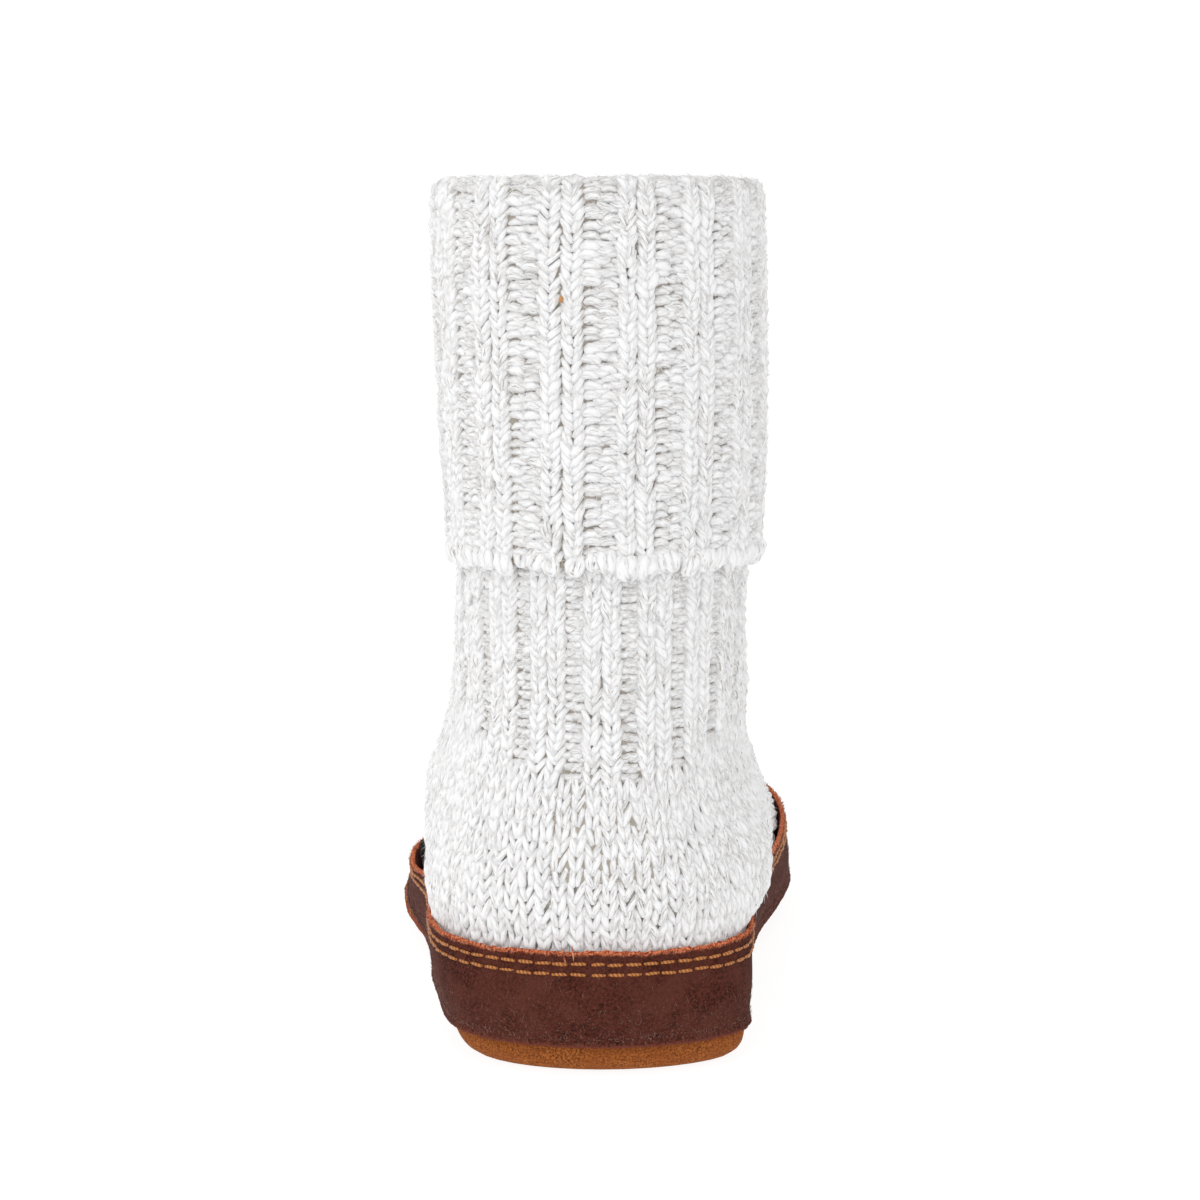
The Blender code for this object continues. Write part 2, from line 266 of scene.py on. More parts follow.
# Woollen cloth, the felted backs of the stitches: a matt taupe white in clumps of 1.4 mm, which is painted
# shade of the gaps between the stitches. The painted shade is lighter over the toes, where the knit is
# stretched and its backs lie near the surface.
felted_back_painted_shade, tree = new_material("felted_stitch_backs_painted_shade")
where = add_node(tree, "TexCoord").outputs["Object"]
clumps = add_node(tree, "TexNoise", {"Vector": where, "Scale": 0.7 / MM, "Detail": 4.0})
# Painted shade: the taupe that shows in the gaps between the stitches.
painted_gap_shade = add_node(tree, "Mix", {0: clumps, 6: "#999085", 7: "#C0B9AE"}, data_type="RGBA")
place = add_node(tree, "SeparateXYZ", {"Vector": where})
to_toe = add_node(tree, "MapRange", {"Value": place.outputs["Y"], "From Max": 50 * MM, "To Max": 0.8})
tone = add_node(tree, "Mix", {0: to_toe, 6: painted_gap_shade, 7: "#DAD6CF"}, data_type="RGBA")
finish(tree, tone, clumps, 0.6, 0.4, {"Roughness": 0.95})

# Woollen rib seen from inside the shaft: soft white ridges, 8 mm apart, with the courses across them,
# 2.15 mm apart, and fluff of 1 mm over both.
rib_lining, tree = new_material("wool_rib_lining")
where = add_node(tree, "TexCoord").outputs["Object"]
place = add_node(tree, "SeparateXYZ", {"Vector": where})
back_of_axis = add_node(tree, "Math", {0: place.outputs["Y"], 1: -LEG_AXIS_Y}, operation="ADD")
angle = add_node(tree, "Math", {0: place.outputs["X"], 1: back_of_axis}, operation="ARCTAN2")
ribs = add_node(tree, "Math", {0: angle, 1: 32.0}, operation="MULTIPLY")
rib_wave = add_node(tree, "Math", {0: ribs}, operation="SINE")
course_turn = 2 * math.pi / (2.15 * MM)
courses = add_node(tree, "Math", {0: place.outputs["Z"], 1: course_turn}, operation="MULTIPLY")
course_wave = add_node(tree, "Math", {0: courses}, operation="SINE")
ridges = add_node(tree, "Math", {0: course_wave, 1: 0.12, 2: rib_wave}, operation="MULTIPLY_ADD")
fluff = add_node(tree, "TexNoise", {"Vector": where, "Scale": 1.1 / MM, "Detail": 4.0})
tone = add_node(tree, "Mix", {0: fluff, 6: "#CFC9C0", 7: "#EAE8E4"}, data_type="RGBA")
height = add_node(tree, "Math", {0: fluff, 1: 0.8, 2: ridges}, operation="MULTIPLY_ADD")
finish(tree, tone, height, 0.9, 1.0, {"Roughness": 0.95})

# The outer faces, behind the stitches, take the taupe painted shade of the gaps. The inner faces take the
# lining.
mesh.materials.append(rib_lining)
mesh.materials.append(felted_back_painted_shade)
for polygon in mesh.polygons:
    polygon.material_index = int(any(outside[i] for i in polygon.vertices))
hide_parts("knit_upper")
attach(ground, "root")


# ---- Wales over the form -------------------------------------------------------------------------------
# The knitting is three panels: the leg's back with the heel, the leg's front with the foot, and the cuff.
# A panel is a net of points on the form, a column of the net to a wale, and the stitches are laid on it.

HEEL_EDGE_Y = -74 * MM  # the line down the ankle where the heel's wales end
HIDDEN_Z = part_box("suede_band")[1].z - 9 * MM  # the knitting runs on a little way under the band
ACROSS = Vector((1, 0, 0))


def through_wall(origin, direction):
    """Where a ray from inside the sock comes out of the first wall that it meets."""
    for _ in range(2):
        hit = sock.ray_cast(origin, direction)[0]
        origin = hit + direction * 0.01 * MM
    return hit


def ring(centre, ahead, spread):
    """Points round the form in one plane, from one side past the direction ahead to the other side."""
    turns = np.radians(np.linspace(-spread, spread, 57))
    return np.array(
        [through_wall(centre, (ahead * math.cos(t) + ACROSS * math.sin(t)).normalized()) for t in turns]
    )


def walked(points):
    """How far along a line of points each one is."""
    return np.concatenate([[0], np.cumsum(np.linalg.norm(np.diff(points, axis=0), axis=1))])


def from_middle(points):
    """How far along a line of points each one is from the middle one."""
    along = walked(points)
    return along - along[len(points) // 2]


def spaced(points, along, places):
    """Points along a line of points, at the given distances from its middle point."""
    return np.stack([np.interp(places, along, points[:, k]) for k in range(3)], axis=1)


class Panel:
    """A net of points over the form, with a row to each ring and a column to each wale."""

    EDGE = 2  # rows and columns added past each end, so that a stitch may reach over it

    def __init__(self, points, closed=False):
        for _ in range(2):  # takes out the facets of the form
            points[1:-1] = (points[:-2] + 2 * points[1:-1] + points[2:]) / 4
            points[:, 1:-1] = (points[:, :-2] + 2 * points[:, 1:-1] + points[:, 2:]) / 4
        past = np.arange(1, self.EDGE + 1)
        if closed:
            points = np.concatenate([points[:, -self.EDGE :], points, points[:, : self.EDGE]], axis=1)
        else:
            first, last = points[:, 0:1], points[:, -1:]
            before = first + (first - points[:, 1:2]) * past[::-1, None]
            after = last + (last - points[:, -2:-1]) * past[:, None]
            points = np.concatenate([before, points, after], axis=1)
        before = points[:1] + (points[:1] - points[1:2]) * past[::-1, None, None]
        after = points[-1:] + (points[-1:] - points[-2:-1]) * past[:, None, None]
        self.points = np.concatenate([before, points, after])
        down, side = np.gradient(self.points, axis=0), np.gradient(self.points, axis=1)
        self.row = np.maximum(np.linalg.norm(down, axis=2), 0.05 * MM)
        self.wale = np.maximum(np.linalg.norm(side, axis=2), 0.3 * MM)
        normals = np.cross(down, side)
        self.normals = normals / np.maximum(np.linalg.norm(normals, axis=2, keepdims=True), 1e-12)
        self.rows = len(points)

    def at(self, grid, row, column):
        """The value of a grid at fractions of rows and columns."""
        row = np.clip(row + self.EDGE, 0, grid.shape[0] - 1.001)
        column = np.clip(column + self.EDGE, 0, grid.shape[1] - 1.001)
        r, c = row.astype(int), column.astype(int)
        fr, fc = row - r, column - c
        if grid.ndim == 3:
            fr, fc = fr[..., None], fc[..., None]
        near = grid[r, c] * (1 - fc) + grid[r, c + 1] * fc
        far = grid[r + 1, c] * (1 - fc) + grid[r + 1, c + 1] * fc
        return near * (1 - fr) + far * fr

    def courses(self, column, course):
        """The rows at which a wale's stitches lie. course gives their spacing at a height."""
        rows, row = [], 0.0
        while row < self.rows - 1:
            rows.append(row)
            height = self.at(self.points, row, column)[2]
            row += course(height) / self.at(self.row, row, column)
        return np.array(rows)


# The leg's back and the heel: 40 wales, which the heel spreads from 3 mm to 4 mm.
BACK_WALES = 40
RIB_SHIFT = 1.0 * MM  # the middle of the rib lies a little to the inner side
TOP_Z = 125 * MM
rings = []
for z in np.arange(TOP_Z, HIDDEN_Z - 2 * MM, -2 * MM):
    found = ring(Vector((0, HEEL_EDGE_Y, z)), Vector((0, -1, 0)), 90)
    along = from_middle(found)
    shares = (np.arange(BACK_WALES) - (BACK_WALES - 1) / 2) / (BACK_WALES / 2)
    lateral, medial = RIB_SHIFT - along[0], along[-1] - RIB_SHIFT
    places = RIB_SHIFT + np.where(shares < 0, shares * lateral, shares * medial)
    rings.append(spaced(found, along, places))
back_panel = Panel(np.array(rings))

# The leg's front and the foot: rings stand level down the leg, fan round the instep, stand upright along
# the foot and fan round the toe. The fans turn about points in front of the instep and under the toe.
CREASE = Vector((0, -5 * MM, 112 * MM))
TOE_TURN = Vector((0, 66 * MM, -40 * MM))
CENTRE_Z = 32 * MM
FRONT_WALES = 84
LEG_FRONT_WALES = 36

planes = []  # the centre of a ring, the direction ahead, and how far it spreads to each side in degrees
for z in np.arange(TOP_Z, CREASE.z, -2 * MM):
    planes.append((Vector((0, HEEL_EDGE_Y, z)), Vector((0, 1, 0)), 90))
LEVEL_ROWS = len(planes)
for turn in np.radians(np.arange(0, 90, 2.25)):
    back = CREASE.y - HEEL_EDGE_Y
    drop = CREASE.z - CENTRE_Z
    reached = min(back / max(math.cos(turn), 1e-6), drop / max(math.sin(turn), 1e-6))
    away = Vector((0, -math.cos(turn), -math.sin(turn)))
    planes.append((CREASE + away * reached, -away, 90 + 15 * turn / (math.pi / 2)))
for y in np.arange(CREASE.y, TOE_TURN.y, 2.5 * MM):
    planes.append((Vector((0, y, CENTRE_Z)), Vector((0, 0, 1)), 105))
for turn in np.radians(np.arange(90, 47, -1.5)):
    ahead = Vector((0, math.cos(turn), math.sin(turn)))
    centre = TOE_TURN + ahead * (20 * MM - TOE_TURN.z) / math.sin(turn)
    planes.append((centre, ahead, 95))

rings, reach = [], []  # reach is how many wales the form has to each side of a ring's middle
for index, (centre, ahead, spread) in enumerate(planes):
    found = ring(centre, ahead, spread)
    along = from_middle(found)
    wale = min(-along[0], along[-1]) / (LEG_FRONT_WALES / 2)
    if ahead.y <= 0.999:  # past the leg, where the rings are no longer level
        wale = (3.1 + 0.7 * smooth_step(index, 20, 50)) * MM
    places = (np.arange(FRONT_WALES) - (FRONT_WALES - 1) / 2) * wale
    rings.append(spaced(found, along, places))
    reach.append((along[0] / wale, along[-1] / wale))
front_panel = Panel(np.array(rings))
front_panel.normals *= -1

# The cuff: 64 wales, from the hem up the outside, over the fold and a little way down inside.
CUFF_WALES = 64
HEM_Z = 119 * MM
RIM_Z = cad_high.z + 0.7 * MM
FOLD_Z = RIM_Z - 8 * MM  # where the fold's bend begins


def on_axis(z):
    """The middle of the cuff at a height."""
    return Vector((0.7 * MM, LEG_AXIS_Y, z))


def outwards(turn):
    """The level direction out of the shoe at a turn from straight back."""
    return Vector((math.sin(turn), -math.cos(turn), 0))


def from_outside(centre, direction):
    """Where a ray that comes in towards a centre meets the sock."""
    return sock.ray_cast(centre + direction * 0.25, -direction)[0]


turns = np.radians(np.linspace(-180, 180, 361))
around = walked(np.array([from_outside(on_axis(160 * MM), outwards(turn)) for turn in turns]))
wale_shares = np.arange(CUFF_WALES) / CUFF_WALES + 0.5 / CUFF_WALES
wale_shares += np.where(wale_shares < 0.5, -0.032 * np.sin(2 * math.pi * (0.5 - wale_shares)), 0)
columns = []
for wale_turn in np.interp(wale_shares * around[-1], around, turns):
    side = outwards(wale_turn)
    column = [from_outside(on_axis(z), side) for z in np.arange(HEM_Z, RIM_Z - 5 * MM, 2 * MM)]
    outer = from_outside(on_axis(FOLD_Z), side)
    inner = sock.ray_cast(on_axis(FOLD_Z), side)[0]
    middle = (outer + inner) / 2
    middle.z = RIM_Z - (outer - inner).length / 2
    for turn in np.radians(np.arange(0, 181, 20)):
        lean = side * math.cos(turn) + Vector((0, 0, math.sin(turn)))
        column.append(sock.ray_cast(middle + lean * 0.02, -lean)[0])
    for z in np.arange(column[-1].z - 2 * MM, RIM_Z - 34 * MM, -2 * MM):
        column.append(sock.ray_cast(on_axis(z), side)[0])
    columns.append(column)
cuff_panel = Panel(np.array(columns).transpose(1, 0, 2), closed=True)
cuff_panel.normals *= -1


# ---- Stitches ------------------------------------------------------------------------------------------
# Every stitch is a loop of thick soft yarn. A knit stitch shows its two legs, which lean together in a V.
# A purl stitch shows the loop's head and, between it and the next, the foot, as two bars across the wale.

randomness = np.random.default_rng(11)


class Yarn:
    """A short piece of yarn: a tube with pointed ends along a path of (across, along, out) in mm."""

    def __init__(self, path, radii, sides=5):
        path, radii = np.array(path, float), np.array(radii, float)
        runs = np.gradient(path, axis=0)
        runs /= np.linalg.norm(runs, axis=1, keepdims=True)
        axis_points, offsets = [path[0]], [np.zeros(3)]
        for point, run, radius in zip(path[1:-1], runs[1:-1], radii[1:-1]):
            side = np.cross(run, [0.0, 0.0, 1.0])
            side /= np.linalg.norm(side)
            up = np.cross(side, run)
            for k in range(sides):
                turn = 2 * math.pi * k / sides
                axis_points.append(point)
                offsets.append(radius * (math.cos(turn) * side + math.sin(turn) * up))
        axis_points.append(path[-1])
        offsets.append(np.zeros(3))
        self.axis, self.offsets = np.array(axis_points) * MM, np.array(offsets) * MM
        rings = [range(start, start + sides) for start in range(1, len(axis_points) - 1, sides)]
        rings = [[0] * sides, *rings, [len(axis_points) - 1] * sides]
        travelled = walked(path)
        self.faces, self.uvs = [], []
        for i in range(len(rings) - 1):
            for k in range(sides):
                corners = [(i, k), (i + 1, k), (i + 1, k + 1), (i, k + 1)]
                if i in (0, len(rings) - 2):  # a triangle at the yarn's point
                    del corners[3 if i == 0 else 2]
                self.faces.append(tuple(rings[j][n % sides] for j, n in corners))
                self.uvs.append([(travelled[j], n / sides) for j, n in corners])


def lay(panel, yarn, columns, rows, nominal_wale, unevenness=1.0):
    """Copies a piece of yarn to each (column, row) of a panel. Gives points, faces, UVs and depths."""
    columns, rows = np.asarray(columns, float), np.asarray(rows, float)
    count = len(columns)
    wale = panel.at(panel.wale, rows, columns)
    row = panel.at(panel.row, rows, columns)
    spots = panel.at(panel.points, rows, columns)
    # Neighbours within about 5 mm are thick or thin together, since they are spun from one stretch.
    clump = np.array([noise.noise(Vector(spot) / (5 * MM)) for spot in spots])[:, None]
    plump = 1 + unevenness * (0.22 * clump + randomness.normal(0, 0.10, (count, 1)))
    plump = np.clip(plump, 0.78, 1.5)
    slip = unevenness * randomness.normal(0, 0.16 * MM, (count, 3))
    slip[:, 2:] += unevenness * 0.35 * MM * clump
    tilt = unevenness * randomness.normal(0, 0.15, (count, 1))
    width = np.clip(wale / (nominal_wale * MM), 0.6, 1.35)[:, None]
    fluff = randomness.normal(0, 0.06 * MM, (3, count, len(yarn.axis))) * min(unevenness, 1)
    across = yarn.axis[:, 0] * width + yarn.offsets[:, 0] * plump + slip[:, :1] + fluff[0]
    along = yarn.axis[:, 1] + yarn.offsets[:, 1] * plump + slip[:, 1:2] + fluff[1]
    across, along = across + along * tilt, along - across * tilt * 0.5
    out = yarn.axis[:, 2] + yarn.offsets[:, 2] * plump + slip[:, 2:] * 0.7 + fluff[2]
    net_row, net_column = rows[:, None] + along / row[:, None], columns[:, None] + across / wale[:, None]
    points = panel.at(panel.points, net_row, net_column)
    points = points + panel.at(panel.normals, net_row, net_column) * out[..., None]
    faces = []
    for start in range(0, count * len(yarn.axis), len(yarn.axis)):
        faces += [tuple(start + i for i in face) for face in yarn.faces]
    shift = randomness.uniform(0, 40, (count, 1, 1)) * np.array([1.0, 0.0])
    uvs = np.concatenate(yarn.uvs) + shift
    # depth is 0 where the yarn lies within 0.8 mm of the surface and 1 at 2.1 mm, and drives the wool's
    # painted shade.
    depth = np.clip((-out / MM - 0.8) / 1.3, 0, 1)
    return points.reshape(-1, 3), faces, uvs.reshape(-1, 2), depth.ravel()


def new_piece(name, points, faces, uv_name, uvs, material):
    """A smooth piece from points, faces and the UV of each corner, with its material."""
    made = bpy.data.meshes.new(name)
    made.from_pydata(points.tolist(), [], faces)
    made.uv_layers.new(name=uv_name).data.foreach_set("uv", uvs.ravel())
    made.shade_smooth()
    made.materials.append(material)
    piece = bpy.data.objects.new(name, made)
    bpy.context.collection.objects.link(piece)
    return piece


def joined(name, parts, material):
    """One piece from the parts that lay gives, on the one body."""
    points, faces, uvs, depths, start = [], [], [], [], 0
    for part_points, part_faces, part_uvs, part_depths in parts:
        points.append(part_points)
        faces += [tuple(start + i for i in face) for face in part_faces]
        uvs.append(part_uvs)
        depths.append(part_depths)
        start += len(part_points)
    piece = new_piece(name, np.concatenate(points), faces, "along_yarn", np.concatenate(uvs), material)
    # sunk carries how deep each point lies, for the painted shade of the wool.
    sunk = piece.data.attributes.new("sunk", "FLOAT", "POINT")
    sunk.data.foreach_set("value", np.concatenate(depths))
    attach(piece, "root")


# Ragg wool, woollen spun and plied: matt off-white, streaked along the yarn with grey and oatmeal fibres,
# the plies winding round it. The light that goes into the fluff comes out beside it and softens the gaps,
# and a faint white glow is painted light that stands for what it scatters. Where the yarn lies deep in the
# fabric, and in the groove between its plies, it is painted a light warm grey as painted shade. Streaks are
# 3 mm long, dense and sparse every 13 mm, and turn from grey to oatmeal every 6 mm.
ragg_wool, tree = new_material("ragg_wool_yarn")
where = add_node(tree, "TexCoord").outputs["Object"]
along_yarn = add_node(tree, "UVMap", uv_map="along_yarn")  # mm along, and the share of the way round
stretched = add_node(tree, "Mapping", {"Vector": along_yarn, "Scale": (0.22, 7.0, 1.0)})
streaks = add_node(tree, "TexNoise", {"Vector": stretched, "Scale": 1.6, "Detail": 3.0, "Roughness": 0.6})
marl = add_node(tree, "MapRange", {"Value": streaks, "From Min": 0.55, "From Max": 0.65})
spun_in = add_node(tree, "TexNoise", {"Vector": where, "Scale": 0.075 / MM, "Detail": 2.0})
amount = add_node(tree, "MapRange", {"Value": spun_in, "From Min": 0.38, "From Max": 0.64, "To Min": 0.25})
marled = add_node(tree, "Math", {0: marl, 1: amount}, operation="MULTIPLY")
patches = add_node(tree, "TexNoise", {"Vector": where, "Scale": 0.16 / MM, "Detail": 2.0})
grey_or_oat = add_node(tree, "Mix", {0: patches, 6: "#9C9A97", 7: "#AFA69A"}, data_type="RGBA")
fleece_tone = add_node(tree, "Mix", {0: marled, 6: "#EFEFF0", 7: grey_or_oat}, data_type="RGBA")
# Two plies: a fine groove between them winds round the yarn, and passes every 7 mm. The groove is painted
# darker as painted shade.
split = add_node(tree, "SeparateXYZ", {"Vector": along_yarn})
two_plies = add_node(tree, "Math", {0: split.outputs["Y"], 1: 4 * math.pi}, operation="MULTIPLY")
winding = {0: split.outputs["X"], 1: 2 * math.pi / 7, 2: two_plies}
winding = add_node(tree, "Math", winding, operation="MULTIPLY_ADD")
ply_wave = add_node(tree, "Math", {0: winding}, operation="SINE")
groove = add_node(
    tree, "MapRange", {"Value": ply_wave, "From Min": -1.0, "From Max": -0.75, "To Min": 1.0, "To Max": 0.0}
)
# Painted shade: points deep in the fabric and the ply groove turn to a light warm grey.
sunk = add_node(tree, "Attribute", attribute_name="sunk").outputs["Fac"]
hollow = add_node(tree, "Math", {0: groove, 1: 0.4, 2: sunk}, operation="MULTIPLY_ADD", use_clamp=True)
tone = add_node(tree, "Mix", {0: hollow, 6: fleece_tone, 7: "#D2CDC7"}, data_type="RGBA")
height = add_node(tree, "Math", {0: groove, 1: -0.8, 2: streaks}, operation="MULTIPLY_ADD")
soft_wool = {
    "Roughness": 0.95,
    "Subsurface Weight": 0.4,
    "Subsurface Radius": (1.0, 0.98, 0.95),
    "Subsurface Scale": 0.6 * MM,
    # Painted light: a faint white glow.
    "Emission Color": "#FFFFFF",
    "Emission Strength": 0.05,
}
finish(tree, tone, height, 0.7, 0.2, soft_wool)


def knit_legs(wale, length, thickness, sides=5):
    """The two legs of a knit stitch, in mm. They meet where the along direction points."""
    legs = []
    for side in (-1, 1):
        path = [
            (0.0, 0.52 * length, -1.5),
            (side * 0.05 * wale, 0.40 * length, -0.80),
            (side * 0.18 * wale, 0.15 * length, -0.55),
            (side * 0.33 * wale, -0.14 * length, -0.80),
            (side * 0.45 * wale, -0.38 * length, -1.45),
            (side * 0.49 * wale, -0.52 * length, -2.3),
        ]
        legs.append(Yarn(path, np.array([0, 0.9, 1.0, 0.98, 0.85, 0]) * thickness / 2, sides))
    return legs


def mirrored(half):
    """A path from its right half, which starts near the middle."""
    return [(-across, along, out) for across, along, out in half[::-1]] + half


def purl_bars(wale, course, thickness, depth):
    """The head of a purl stitch, and the foot between it and the next wale, in mm."""
    bars = []
    for middle, rise, share in ((0.0, 1, 1.0), (0.5, -1, 0.8)):
        path = [
            ((middle + across) * wale, (0.3 * bow - 0.5 * (share < 1)) * course * rise, -depth + out)
            for across, bow, out in mirrored([(0.12, 0.4, 0.0), (0.38, -0.2, -0.25), (0.56, -0.9, -0.9)])
        ]
        bars.append(Yarn(path, np.array([0, 0.85, 1.0, 1.0, 0.85, 0]) * thickness * share / 2, sides=4))
    return bars


def flipped(yarns):
    """The same pieces of yarn, pointing the other way along the wale."""
    for yarn in yarns:
        yarn.axis[:, 1] *= -1
        yarn.offsets[:, 1] *= -1
        yarn.faces = [face[::-1] for face in yarn.faces]
        yarn.uvs = [corners[::-1] for corners in yarn.uvs]
    return yarns


def drawn_in_ribs(columns, middle, purl_share):
    """Where a rib's wales lie when its purl pairs are narrow. middle is the place between a purl pair."""
    away = (np.asarray(columns, float) - middle + 2) % 4 - 2
    from_pair = np.where(abs(away) < 1, purl_share / 2, 1 + purl_share / 2)
    return columns - away + np.sign(away) * from_pair


# Cuff: 16 repeats of two knit and two purl wales, with a purl pair at the middle of the back.
CUFF_WALE, CUFF_COURSE = 4.2, 2.15  # mm
CUFF_PAIR = 3.5  # the place between a purl pair
CUFF_PURL_SHARE = 0.86
cuff_grid = {"cuff_knit_ribs": [], "cuff_purl_ribs": []}
for column in range(CUFF_WALES):
    purl = (column + 1) % 4 in (0, 1)
    drift = randomness.uniform(0, 1)
    for row in cuff_panel.courses(column, lambda z: CUFF_COURSE * MM)[1:]:
        cuff_grid["cuff_purl_ribs" if purl else "cuff_knit_ribs"].append((column, row + drift))
for name, yarns, unevenness in (
    ("cuff_knit_ribs", flipped(knit_legs(4.4, 4.1, 2.2)), 1.2),
    ("cuff_purl_ribs", purl_bars(4.25, CUFF_COURSE, 2.3, 0.9), 1.6),
):
    columns, rows = np.array(cuff_grid[name]).T
    columns = drawn_in_ribs(columns, CUFF_PAIR, CUFF_PURL_SHARE)
    parts = [lay(cuff_panel, yarn, columns, rows, CUFF_WALE, unevenness) for yarn in yarns]
    joined(name, parts, ragg_wool)

# Hem: the bound off edge, a fat loop to each wale. The knit pairs swell out in bulbs, and the purl pairs
# lie back between them.
hem_parts = []
for purl, low, deep, thickness in ((False, -0.2, -0.2, 3.1), (True, 0.5, 0.25, 2.8)):
    half = [(0.07, -0.3, 0.1), (0.21, 0.4, 0.2), (0.27, 2.0, 0.1), (0.24, 3.7, -0.6), (0.12, 4.9, -1.9)]
    path = [(across * CUFF_WALE, along + low, out - deep) for across, along, out in mirrored(half)]
    loop = Yarn(path, np.array([0, 0.8, 1, 1, 0.9, 0.9, 1, 1, 0.8, 0]) * thickness / 2)
    columns = [c for c in range(CUFF_WALES) if ((c + 1) % 4 in (0, 1)) == purl]
    columns = drawn_in_ribs(columns, CUFF_PAIR, CUFF_PURL_SHARE)
    hem_parts.append(lay(cuff_panel, loop, columns, np.zeros(len(columns)), CUFF_WALE, 1.8))
joined("cuff_hem_loops", hem_parts, ragg_wool)


def rib_and_plain(panel, grid, pair, kinds):
    """The stitches of a leg panel: its ribs drawn in about the purl pairs, and the plain knit below."""
    parts = []
    for kind, wale, yarns in kinds:
        columns, rows = np.array(grid[kind]).T
        if kind != "plain":
            columns = drawn_in_ribs(columns, pair, 0.62)
        parts += [lay(panel, yarn, columns, rows, wale) for yarn in yarns]
    return parts


# Leg back and heel: the finer rib ends in points above the plain heel, and loops close the side edges.
def back_course(z):
    """The height of a course, which grows from the leg to the heel."""
    heel, rib = 1 - smooth_step(z, 62 * MM, 76 * MM), smooth_step(z, 76 * MM, 112 * MM)
    return (2.4 + 1.1 * heel - 0.6 * rib) * MM


back_grid = {"rib_knit": [], "rib_purl": [], "plain": []}
for column in range(BACK_WALES):
    rib_end = (70 + 0.06 * abs(column - (BACK_WALES - 1) / 2) ** 2) * MM
    drift = randomness.uniform(-0.2, 0.2)
    for row in back_panel.courses(column, back_course):
        if back_panel.at(back_panel.points, row, column)[2] < rib_end:
            back_grid["plain"].append((column, row + drift))
        else:
            back_grid["rib_purl" if column % 4 in (1, 2) else "rib_knit"].append((column, row))
back_kinds = (
    ("plain", 4.0, knit_legs(3.9, 6.4, 1.9)),
    ("rib_knit", 3.1, knit_legs(4.1, 4.6, 2.1)),
    ("rib_purl", 3.1, purl_bars(2.7, 2.0, 2.0, 1.2)),
)
back_parts = rib_and_plain(back_panel, back_grid, 1.5, back_kinds)
edge_loop = Yarn(
    [(-0.9, 1.9, -1.6), (-0.5, 1.2, -0.5), (0.0, 0.2, -0.1), (0.5, -0.9, -0.4), (0.8, -1.9, -1.5)],
    np.array([0, 0.95, 1.0, 0.95, 0]) * 2.3 / 2,
)
for column in (-0.7, BACK_WALES - 0.3):
    rows = back_panel.courses(column, lambda z: 3.0 * MM)
    back_parts.append(lay(back_panel, edge_loop, [column] * len(rows), rows, 4.0))
joined("heel_stitches", back_parts, ragg_wool)


# Leg front and foot: the rib ends at the instep, and the foot is plain down to behind the band.
def front_course(z):
    """The height of a course, which is less in the rib of the leg."""
    return (3.5 - 1.5 * smooth_step(z, 90 * MM, 108 * MM)) * MM


RIB_TURN_ROWS = 3  # how far round the instep's fan the rib runs
front_grid = {"rib_knit": [], "rib_purl": [], "plain": []}
for column in range(FRONT_WALES):
    offset = column - (FRONT_WALES - 1) / 2
    for row in front_panel.courses(column, front_course):
        _, y, z = front_panel.at(front_panel.points, row, column)
        low_reach, high_reach = reach[int(row)]
        lowest = HIDDEN_Z + 4 * MM * smooth_step(y, 0, 20 * MM)
        if not low_reach - 0.2 < offset < high_reach + 0.2 or z < lowest:
            continue
        if row > LEVEL_ROWS + RIB_TURN_ROWS:
            front_grid["plain"].append((column, row))
        else:
            front_grid["rib_purl" if column % 4 in (0, 1) else "rib_knit"].append((column, row))
front_kinds = (
    ("plain", 3.8, knit_legs(4.1, 6.8, 2.2, 4)),
    ("rib_knit", 3.1, knit_legs(4.1, 4.6, 2.1, 4)),
    ("rib_purl", 3.1, purl_bars(2.7, 2.0, 2.05, 1.0)),
)
front_parts = rib_and_plain(front_panel, front_grid, 0.5, front_kinds)
joined("foot_stitches", front_parts, ragg_wool)


# ---- Loose fibres --------------------------------------------------------------------------------------
# Woollen yarn sheds fine curled hairs, shorter than a fingernail. They lie over the stitches every way,
# held at one end by the twist, and stand out from the edges.

FIBRE_KINDS = 20


def hair_material(name, dark, light, roughness):
    """Fine hairs, in tufts of 3 mm that are darker or lighter."""
    material, tree = new_material(name)
    where = add_node(tree, "TexCoord").outputs["Object"]
    shades = add_node(tree, "TexNoise", {"Vector": where, "Scale": 0.3 / MM})
    tone = add_node(tree, "Mix", {0: shades, 6: dark, 7: light}, data_type="RGBA")
    hair = add_node(tree, "BsdfPrincipled", {"Base Color": tone, "Roughness": roughness})
    add_node(tree, "OutputMaterial", {"Surface": hair})
    return material


